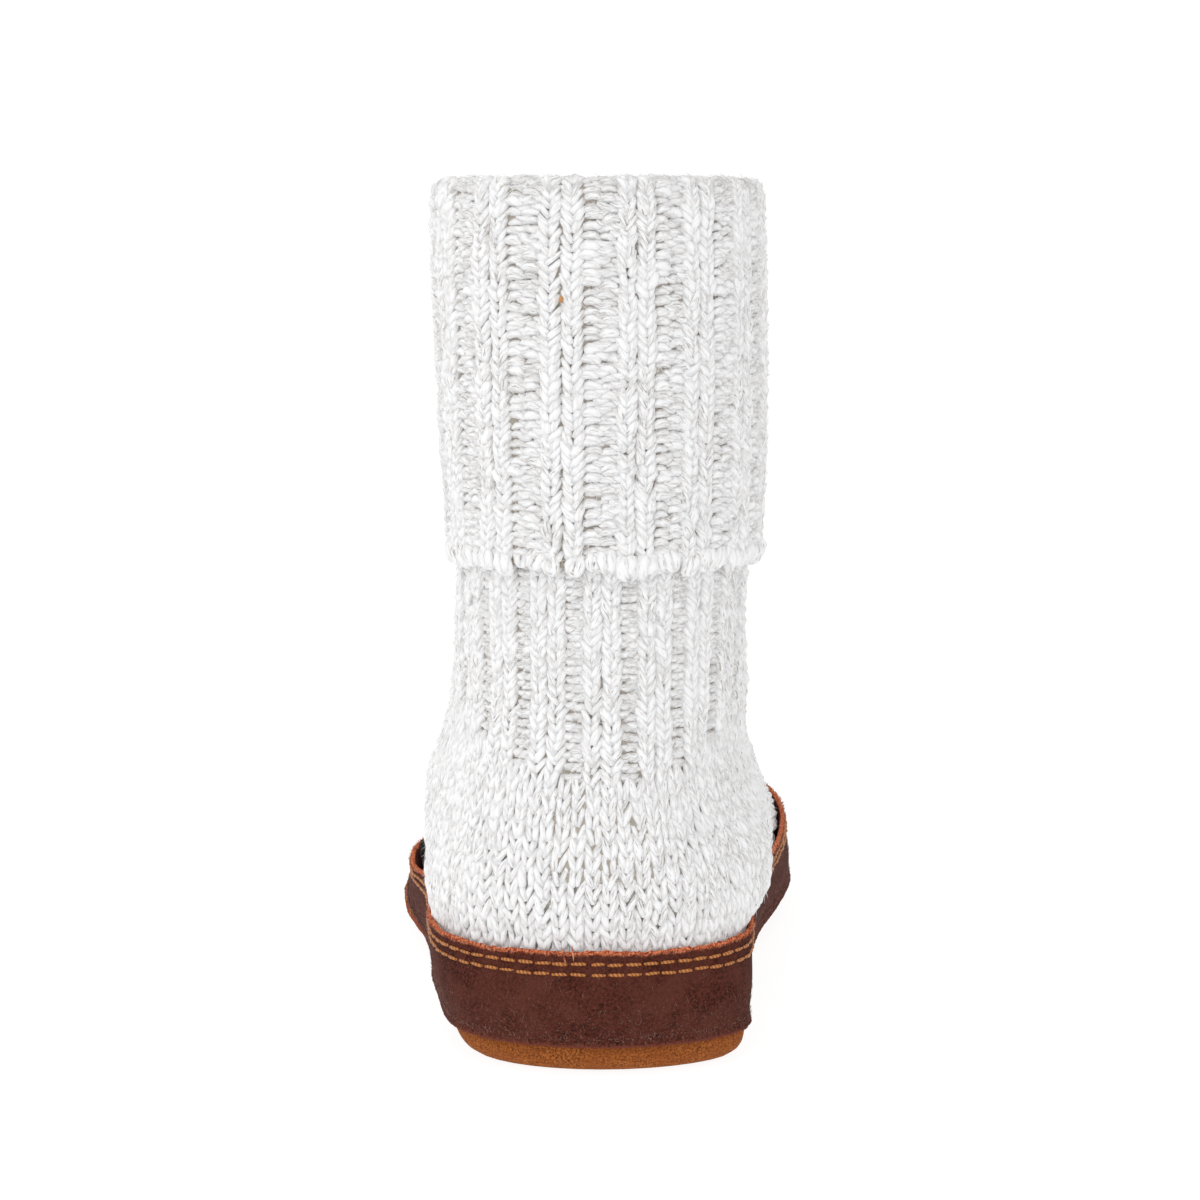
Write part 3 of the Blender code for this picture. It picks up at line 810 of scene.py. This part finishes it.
def fibres_on(panel, count, longest, rise, radius, low_row=0.0, high_row=1e9, upright=0.0, above=-0.15):
    """Curled hairs scattered between two rows of a panel. upright turns them along the wales."""
    parts = []
    high_row = min(high_row, panel.rows - 1)
    for kind in range(FIBRE_KINDS):
        heading = math.pi * (kind + randomness.uniform()) / FIBRE_KINDS
        heading = math.pi / 2 + (heading - math.pi / 2) * (1 - upright)
        length = longest * randomness.uniform(0.4, 1.0)
        curl = length * randomness.uniform(-0.35, 0.35)
        lifted = rise * randomness.uniform(0.1, 1.0) ** 2
        path = []
        for share in (-0.5, -0.17, 0.17, 0.5):
            forward, sideways = share * length, curl * (0.25 - share**2) * 4
            across = forward * math.cos(heading) - sideways * math.sin(heading)
            along = forward * math.sin(heading) + sideways * math.cos(heading)
            path.append((across, along, lifted * (share + 0.5) ** 2 + above))
        fibre = Yarn(path, np.array([0, 1, 1, 0]) * radius, sides=3)
        columns = randomness.uniform(0, panel.points.shape[1] - 5, count // FIBRE_KINDS)
        rows = randomness.uniform(low_row, high_row, count // FIBRE_KINDS)
        keep = np.ones(len(rows), bool)
        if panel is front_panel:
            reaches = np.array([reach[int(row)] for row in rows])
            offsets = columns - (FRONT_WALES - 1) / 2
            heights = panel.at(panel.points, rows, columns)[:, 2]
            keep = (offsets > reaches[:, 0]) & (offsets < reaches[:, 1]) & (heights > HIDDEN_Z + 3 * MM)
        parts.append(lay(panel, fibre, columns[keep], rows[keep], 4.0, 0.2))
    return parts


# Loose wool, unspun: near white hairs, with a little more shine than the yarn.
loose_wool = hair_material("loose_wool_fibres", "#DEDBD6", "#FAFAF9", 0.8)
for name, panel, count in (
    ("cuff_fibres", cuff_panel, 8500),
    ("heel_fibres", back_panel, 4500),
    ("foot_fibres", front_panel, 5000),
):
    joined(name, fibres_on(panel, count, 6.0, 2.2, 0.05), loose_wool)


# ---- Band ----------------------------------------------------------------------------------------------
# One strip of dark brown suede, 1.8 mm thick, goes round the foot over the edge of the knitting. Both its
# edges are cut raw and frayed. Two rows of gold thread run below the top edge, which stands a little
# higher beside the ball of the foot, and the lower edge is rolled out.

BAND_THICKNESS = 1.8 * MM
BAND_COLUMNS = 900
BAND_ROWS = 15
TOP_ROW = BAND_ROWS - 1
FOOT_HALF = 90 * MM  # half of the foot's middle line
WITHIN_BAND = 18 * MM  # a height that the band covers all the way round
band_form = merged_copy("suede_band", "band_form")
band_tree = ray_tree(band_form.data)
bpy.data.objects.remove(band_form)


def foot_ray(share):
    """A point on the foot's middle line, and the direction out of it, for a share of the way round."""
    side = outwards(2 * math.pi * share)
    return Vector((0, np.clip(side.y * 1.6, -1, 1) * FOOT_HALF, 0)), side


def band_face(share, height):
    """Where the band's outer face is, or None above and below it."""
    middle, side = foot_ray(share)
    return band_tree.ray_cast(Vector((middle.x, middle.y, height)) + side * 0.2, -side, 0.2)[0]


def edge_height(share, start, stop):
    """Where the band ends between a height that it covers and one that it doesn't."""
    for _ in range(14):
        height = (start + stop) / 2
        if band_face(share, height) is None:
            stop = height
        else:
            start = height
    return start


def band_column(share):
    """The band's outer face from its lower edge to its top edge, as worn."""
    middle, side = foot_ray(share)
    low = edge_height(share, WITHIN_BAND, 2 * MM) + 0.1 * MM
    high = edge_height(share, WITHIN_BAND, 45 * MM) - 0.1 * MM
    inner, outer = smooth_step(side.x, 0.1, 0.6), smooth_step(-side.x, 0.1, 0.6)
    by_ball = smooth_step(middle.y, 10 * MM, 60 * MM) * inner
    column = []
    for height in np.linspace(low, high, BAND_ROWS):
        point = band_face(share, height)
        y, share_up = point.y / MM, (height - low) / (high - low)
        by_tab = outer * between(y, -48, -8, 6, 24)
        ahead = outer * between(y, 10, 30, 60, 90)
        point.z += (1.9 * by_ball - 3.4 * by_tab - 3.0 * ahead) * share_up**2 * MM
        point.x += (1.4 * ahead * share_up - 3.0 * by_tab * share_up**1.5) * MM
        hollow = 1.3 * inner * (1 - smooth_step(y, -20, 20))
        point.x -= hollow * (1 - 0.55 * share_up**2) * MM
        flared = 1.0 * between(y, -6, 10, 46, 80) - 1.1 * between(y, -66, -44, -20, -5)
        point.x -= flared * outer * (1 - share_up) ** 2 * MM
        column.append(point)
    return column


shares = np.linspace(0, 1, 721)
band_walked = walked(np.array([band_face(share, WITHIN_BAND) for share in shares]))
band_length = band_walked[-1]
even_shares = np.interp(np.arange(BAND_COLUMNS) / BAND_COLUMNS * band_length, band_walked, shares)
band_panel = Panel(np.array([band_column(s) for s in even_shares]).transpose(1, 0, 2), closed=True)
band_panel.normals *= -1
band_wale = band_length / BAND_COLUMNS / MM


def waver(share):
    """A gentle closed wave round the foot."""
    waves = ((5, 0.5), (13, 2.0), (31, 1.1))  # how many go round, and where each one starts
    return sum(math.sin(2 * math.pi * count * share + phase) for count, phase in waves) / len(waves)


def raggedness(place):
    """How far a raw edge is off its line at a place, in each direction, from -1 to 1."""
    return np.array([noise.noise(place + Vector((apart, 0, 0))) for apart in (0, 31, 67)])


def rolled(row):
    """How far the lower edge is rolled out, in mm."""
    return 0.9 * max(0.0, 1 - row / TOP_ROW / 0.16) ** 2


# The strip's section: the row of the net, the share of the thickness inwards, and the lean out in mm.
section = [(row, 0.0, rolled(row)) for row in range(BAND_ROWS)]
section += [(TOP_ROW + 0.32, 0.13, 0.0), (TOP_ROW + 0.45, 0.32, 0.0), (TOP_ROW + 0.28, 0.5, 0.0)]
section += [(row, 0.6 if row == TOP_ROW else 1.0, rolled(row)) for row in range(TOP_ROW, -1, -3)]
section += [(-0.4, 0.75, 0.6), (-0.6, 0.5, 0.8), (-0.45, 0.25, 0.9)]
points, faces, uvs = [], [], []
for c in range(BAND_COLUMNS):
    wave = 0.35 * waver(c / BAND_COLUMNS) * MM
    for row, depth, lean in section:
        inside_row = np.clip(row, 0, TOP_ROW)
        normal = band_panel.at(band_panel.normals, inside_row, c)
        point = band_panel.at(band_panel.points, inside_row, c)
        point += normal * (lean * MM - depth * BAND_THICKNESS)
        point[2] += (row - inside_row) * 1.6 * MM + wave * (row / TOP_ROW)
        fray = 0.5 * smooth_step(row, TOP_ROW - 0.6, TOP_ROW + 0.4)
        fray += 0.2 * (1 - smooth_step(row, 0, 1.2))
        point += raggedness(Vector(point) / (1.1 * MM)) * fray * MM
        points.append(point)
size = len(section)
for c in range(BAND_COLUMNS):
    here, there = c * size, (c + 1) % BAND_COLUMNS * size
    left, right = c * band_wale, (c + 1) * band_wale
    for k in range(size):
        after = (k + 1) % size
        faces.append((here + k, there + k, there + after, here + after))
        near, far = section[k][0] / TOP_ROW, section[after][0] / TOP_ROW
        uvs += [(left, near), (right, near), (right, far), (left, far)]


def suede_tones(tree, where, nap_scale, patch_scale, detail, patchy, dark, light, patch):
    """The nap of suede, and its colour: dark and light in the nap, with patches brushed another way."""
    noise_inputs = {"Vector": where, "Scale": nap_scale, "Detail": detail}
    nap = add_node(tree, "TexNoise", {**noise_inputs, "Roughness": 0.7})
    mottle = add_node(tree, "TexNoise", {**noise_inputs, "Scale": patch_scale})
    nap_share = add_node(tree, "MapRange", {"Value": nap, "From Min": 0.38, "From Max": 0.62})
    patch_share = {"Value": mottle, "From Min": patchy[0], "From Max": patchy[1], "To Max": patchy[2]}
    patch_share = add_node(tree, "MapRange", patch_share)
    dark_and_light = add_node(tree, "Mix", {0: nap_share, 6: dark, 7: light}, data_type="RGBA")
    return nap, add_node(tree, "Mix", {0: patch_share, 6: dark_and_light, 7: patch}, data_type="RGBA")


# Brown cow suede with its nap brushed every way: matt, a nap of 0.7 mm, drawn coarse enough to show, in
# dark and reddish patches of 7 mm, scuffed paler in fine strokes of 0.5 mm, and rust where it is cut.
brown_suede, tree = new_material("brown_cow_suede")
where = add_node(tree, "TexCoord").outputs["Object"]
round_foot = add_node(tree, "UVMap", uv_map="round_foot")  # mm round, and the share of the way up
up = add_node(tree, "SeparateXYZ", {"Vector": round_foot}).outputs["Y"]
nap, brown = suede_tones(
    tree, where, 1.5 / MM, 0.15 / MM, 4.0, (0.38, 0.66, 0.6), "#2C120C", "#5C2E24", "#5E342A"
)
flecks = add_node(tree, "TexNoise", {"Vector": where, "Scale": 1.9 / MM, "Detail": 2.0, "Roughness": 0.8})
least = add_node(tree, "MapRange", {"Value": up, "From Max": 0.6, "To Min": 0.60, "To Max": 0.66})
scuffs = add_node(tree, "Math", {0: flecks, 1: least}, operation="SUBTRACT")
scuff_share = add_node(tree, "MapRange", {"Value": scuffs, "From Max": 0.08, "To Max": 0.6})
scuffed = add_node(tree, "Mix", {0: scuff_share, 6: brown, 7: "#9C7466"}, data_type="RGBA")
# The raw top edge, and a rough lip below, which shows more where it is rolled out on the outer side.
frayed = add_node(tree, "Math", {0: nap, 1: 0.06, 2: up}, operation="MULTIPLY_ADD")
raw_edge = add_node(tree, "MapRange", {"Value": frayed, "From Min": 1.005, "From Max": 1.03})
tufts = add_node(tree, "MapRange", {"Value": flecks, "From Min": 0.4, "From Max": 0.6})
raw_fibre = add_node(tree, "Mix", {0: tufts, 6: "#7A2A14", 7: "#E98A60"}, data_type="RGBA")
edged = add_node(tree, "Mix", {0: raw_edge, 6: scuffed, 7: raw_fibre}, data_type="RGBA")
lip_frayed = add_node(tree, "Math", {0: nap, 1: -0.16, 2: up}, operation="MULTIPLY_ADD")
place = add_node(tree, "SeparateXYZ", {"Vector": where})
forward = add_node(tree, "MapRange", {"Value": place.outputs["Y"], "From Min": -40 * MM, "From Max": 0.0})
on_outer = {"Value": place.outputs["X"], "From Min": -42 * MM, "From Max": -48 * MM}
on_outer = add_node(tree, "MapRange", on_outer)
rolled_out = add_node(tree, "Math", {0: forward, 1: on_outer}, operation="MULTIPLY")
lip_reach = add_node(tree, "Math", {0: rolled_out, 1: -0.05, 2: lip_frayed}, operation="MULTIPLY_ADD")
lip = {"Value": lip_reach, "From Min": -0.09, "From Max": -0.06, "To Min": 0.9, "To Max": 0.0}
lip = add_node(tree, "MapRange", lip)
lip_tone = add_node(tree, "Mix", {0: rolled_out, 6: "#70392C", 7: "#9A4A2A"}, data_type="RGBA")
tone = add_node(tree, "Mix", {0: lip, 6: edged, 7: lip_tone}, data_type="RGBA")
finish(tree, tone, nap, 0.8, 0.3, {"Roughness": 0.95, "Specular IOR Level": 0.12})

band = new_piece("suede_strip", np.array(points), faces, "round_foot", np.array(uvs), brown_suede)
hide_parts("suede_band")
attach(band, "root")

# Waxed polyester thread, twisted: gold, with a soft shine, one turn in 1 mm. The twist's crests are painted
# lighter and its grooves darker, as painted highlight and painted shade.
gold_thread, tree = new_material("gold_waxed_thread")
along_thread = add_node(tree, "UVMap", uv_map="along_yarn")
twist = {"Vector": along_thread, "Scale": 0.628, "Distortion": 1.5}
twist = add_node(tree, "TexWave", twist, bands_direction="DIAGONAL").outputs["Fac"]
# Painted highlight and painted shade: the tone follows the twist's relief.
tone = add_node(tree, "Mix", {0: twist, 6: "#824A1C", 7: "#C8803E"}, data_type="RGBA")
finish(tree, tone, twist, 0.3, 0.1, {"Roughness": 0.5})

# Two rows of saddle stitches, and on the outer side a few knots of the same thread along the lower edge.
STITCH_PITCH = 4.7 * MM
KNOT_PITCH = 24.0  # columns
stitch_count = round(band_length / STITCH_PITCH)
saddle_stitch = Yarn(
    [(-2.15, 0, -0.7), (-1.8, 0, -0.05), (-0.7, 0, 0.15), (0.7, 0, 0.15), (1.8, 0, -0.05), (2.15, 0, -0.7)],
    [0, 0.34, 0.42, 0.42, 0.34, 0],
    sides=6,
)
thread_parts = []
row_height = float(np.mean(band_panel.row)) / MM
for below in (2.3, 4.6):  # mm under the top edge
    columns = np.arange(stitch_count) * BAND_COLUMNS / stitch_count
    rows = np.full(stitch_count, TOP_ROW - below / row_height)
    thread_parts.append(lay(band_panel, saddle_stitch, columns, rows, band_wale, 0.5))
knot_path = [(-0.9, 0.2, -0.5), (-0.5, 0.5, 0.5), (0.5, -0.5, 0.7), (0.9, -0.2, -0.5)]
knot = Yarn(knot_path, [0, 0.6, 0.6, 0], sides=6)
knot_columns = []
for column in np.arange(0, BAND_COLUMNS, KNOT_PITCH):
    x, y, _ = band_panel.points[2, int(column)]
    if x < -46 * MM and y > -5 * MM:
        knot_columns.append(column)
thread_parts.append(lay(band_panel, knot, knot_columns, [0.8] * len(knot_columns), 1.0))
joined("band_thread", thread_parts, gold_thread)

# Frayed leather at the raw top edge: short rust and pink fibres in tufts of 2 mm. A scrap of tan fluff has
# caught on the cuff.
leather_fray, tree = new_material("frayed_leather_fibres")
where = add_node(tree, "TexCoord").outputs["Object"]
shades = add_node(tree, "TexNoise", {"Vector": where, "Scale": 0.5 / MM})
share = add_node(tree, "MapRange", {"Value": shades, "From Min": 0.4, "From Max": 0.6})
rust = add_node(tree, "Mix", {0: share, 6: "#8A3A20", 7: "#DB9472"}, data_type="RGBA")
place = add_node(tree, "SeparateXYZ", {"Vector": where})
on_cuff = add_node(tree, "Math", {0: place.outputs["Z"], 1: 100 * MM}, operation="GREATER_THAN")
tone = add_node(tree, "Mix", {0: on_cuff, 6: rust, 7: "#C88F55"}, data_type="RGBA")
hair = add_node(tree, "BsdfPrincipled", {"Base Color": tone, "Roughness": 0.9})
add_node(tree, "OutputMaterial", {"Surface": hair})
fringe = fibres_on(band_panel, 1800, 1.6, 1.0, 0.06, TOP_ROW - 0.25, TOP_ROW + 0.25, 0.3, 0.0)
joined("frayed_edges", fringe, leather_fray)
strand_path = [(0.9, -1.9, 0.3), (0.4, -0.5, 0.7), (-0.2, 1.2, 0.8), (-0.7, 2.6, 0.6)]
strand = Yarn(strand_path, [0, 0.17, 0.15, 0], sides=4)
stray = [lay(band_panel, strand, [888, 891], [TOP_ROW - 0.6, TOP_ROW - 0.2], band_wale)]
scrap_path = [(0.1, -0.9, 0.0), (-0.1, -0.3, 0.4), (0.1, 0.4, 0.4), (0.0, 1.0, 0.0)]
scrap = Yarn(scrap_path, [0, 0.4, 0.35, 0], sides=5)
stray.append(lay(cuff_panel, scrap, [29.6], [31.5], 4.0))
joined("stray_leather_fibres", stray, leather_fray)

# Nap pulled loose from the suede: fine matt pinkish brown hairs, most of them by the lip.
loose_nap = hair_material("loose_suede_nap", "#6E4438", "#A58276", 0.9)
hairs = fibres_on(band_panel, 700, 3.5, 0.4, 0.025, 1.0, TOP_ROW - 1, 0.0, 0.05)
hairs += fibres_on(band_panel, 1500, 3.0, 0.4, 0.025, 0.6, 6.0, 0.0, 0.1)
hairs += fibres_on(band_panel, 2200, 2.2, 0.8, 0.045, 0.0, 1.6, 0.0, 0.4)
joined("band_hairs", hairs, loose_nap)


# ---- Sole ----------------------------------------------------------------------------------------------
# A thick pad of tan suede under the foot, its rough side out. It is pulled up over a cushion, so its edge
# is rounded all round, and it is sewn to the band's lower edge.


def softened(node, name, material):
    """A soft pad in place of a CAD node: its form, divided finely and smoothed."""
    piece = merged_copy(node, name)
    divide(number_cuts=2, smoothness=0.4)
    piece.data.materials.append(material)
    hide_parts(node)
    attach(piece, "root")
    return piece


# Tan cow suede, not dyed: matt, a nap of 0.5 mm, in patches of 8 mm that are rubbed redder.
tan_suede, tree = new_material("tan_cow_suede")
where = add_node(tree, "TexCoord").outputs["Object"]
nap, tone = suede_tones(
    tree, where, 2.2 / MM, 0.12 / MM, 3.0, (0.35, 0.7, 0.55), "#54260B", "#B66C36", "#8A4A22"
)
finish(tree, tone, nap, 0.5, 0.25, {"Roughness": 0.95, "Specular IOR Level": 0.12})
sole = softened("suede_sole", "suede_sole_pad", tan_suede)
for vertex in sole.data.vertices:  # it stands flat on the floor
    vertex.co.z = max(vertex.co.z, 0)


# ---- Footbed -------------------------------------------------------------------------------------------
# A loose pad cut from cream fleece, which lies on the sole inside the sock and fills it from side to side.
# It isn't sewn.

# Knitted polyester fleece: matt curls of 2.4 mm with a faint bloom.
fleece, tree = new_material("cream_fleece")
where = add_node(tree, "TexCoord").outputs["Object"]
curls = add_node(tree, "TexNoise", {"Vector": where, "Scale": 0.42 / MM, "Detail": 5.0})
tone = add_node(tree, "Mix", {0: curls, 6: "#C9BDA8", 7: "#F2EADB"}, data_type="RGBA")
finish(tree, tone, curls, 0.9, 1.2, {"Roughness": 0.95, "Sheen Weight": 0.3})
softened("footbed", "fleece_footbed", fleece)


# ---- Side tab ------------------------------------------------------------------------------------------
# A short piece of black woven tape, folded double. Its ends are sewn in behind the band's top edge on the
# outer side, and it is bare.

# Woven polyester tape: matt black, in fine ribs of 0.35 mm.
black_tape, tree = new_material("black_woven_tape")
where = add_node(tree, "TexCoord").outputs["Object"]
weave = add_node(tree, "TexWave", {"Vector": where, "Scale": 0.9 / MM, "Distortion": 0.3}).outputs["Fac"]
tone = add_node(tree, "Mix", {0: weave, 6: "#060607", 7: "#19191B"}, data_type="RGBA")
finish(tree, tone, weave, 0.5, 0.15, {"Roughness": 0.9, "Specular IOR Level": 0.1})
tab = softened("side_tab", "woven_tab", black_tape)
tab_low = min(vertex.co.z for vertex in tab.data.vertices)
for vertex in tab.data.vertices:  # pressed down between the band and the knit
    vertex.co.z = tab_low + 0.55 * (vertex.co.z - tab_low)
    vertex.co.x -= 0.4 * MM


# ---- The end -------------------------------------------------------------------------------------------

low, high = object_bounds()
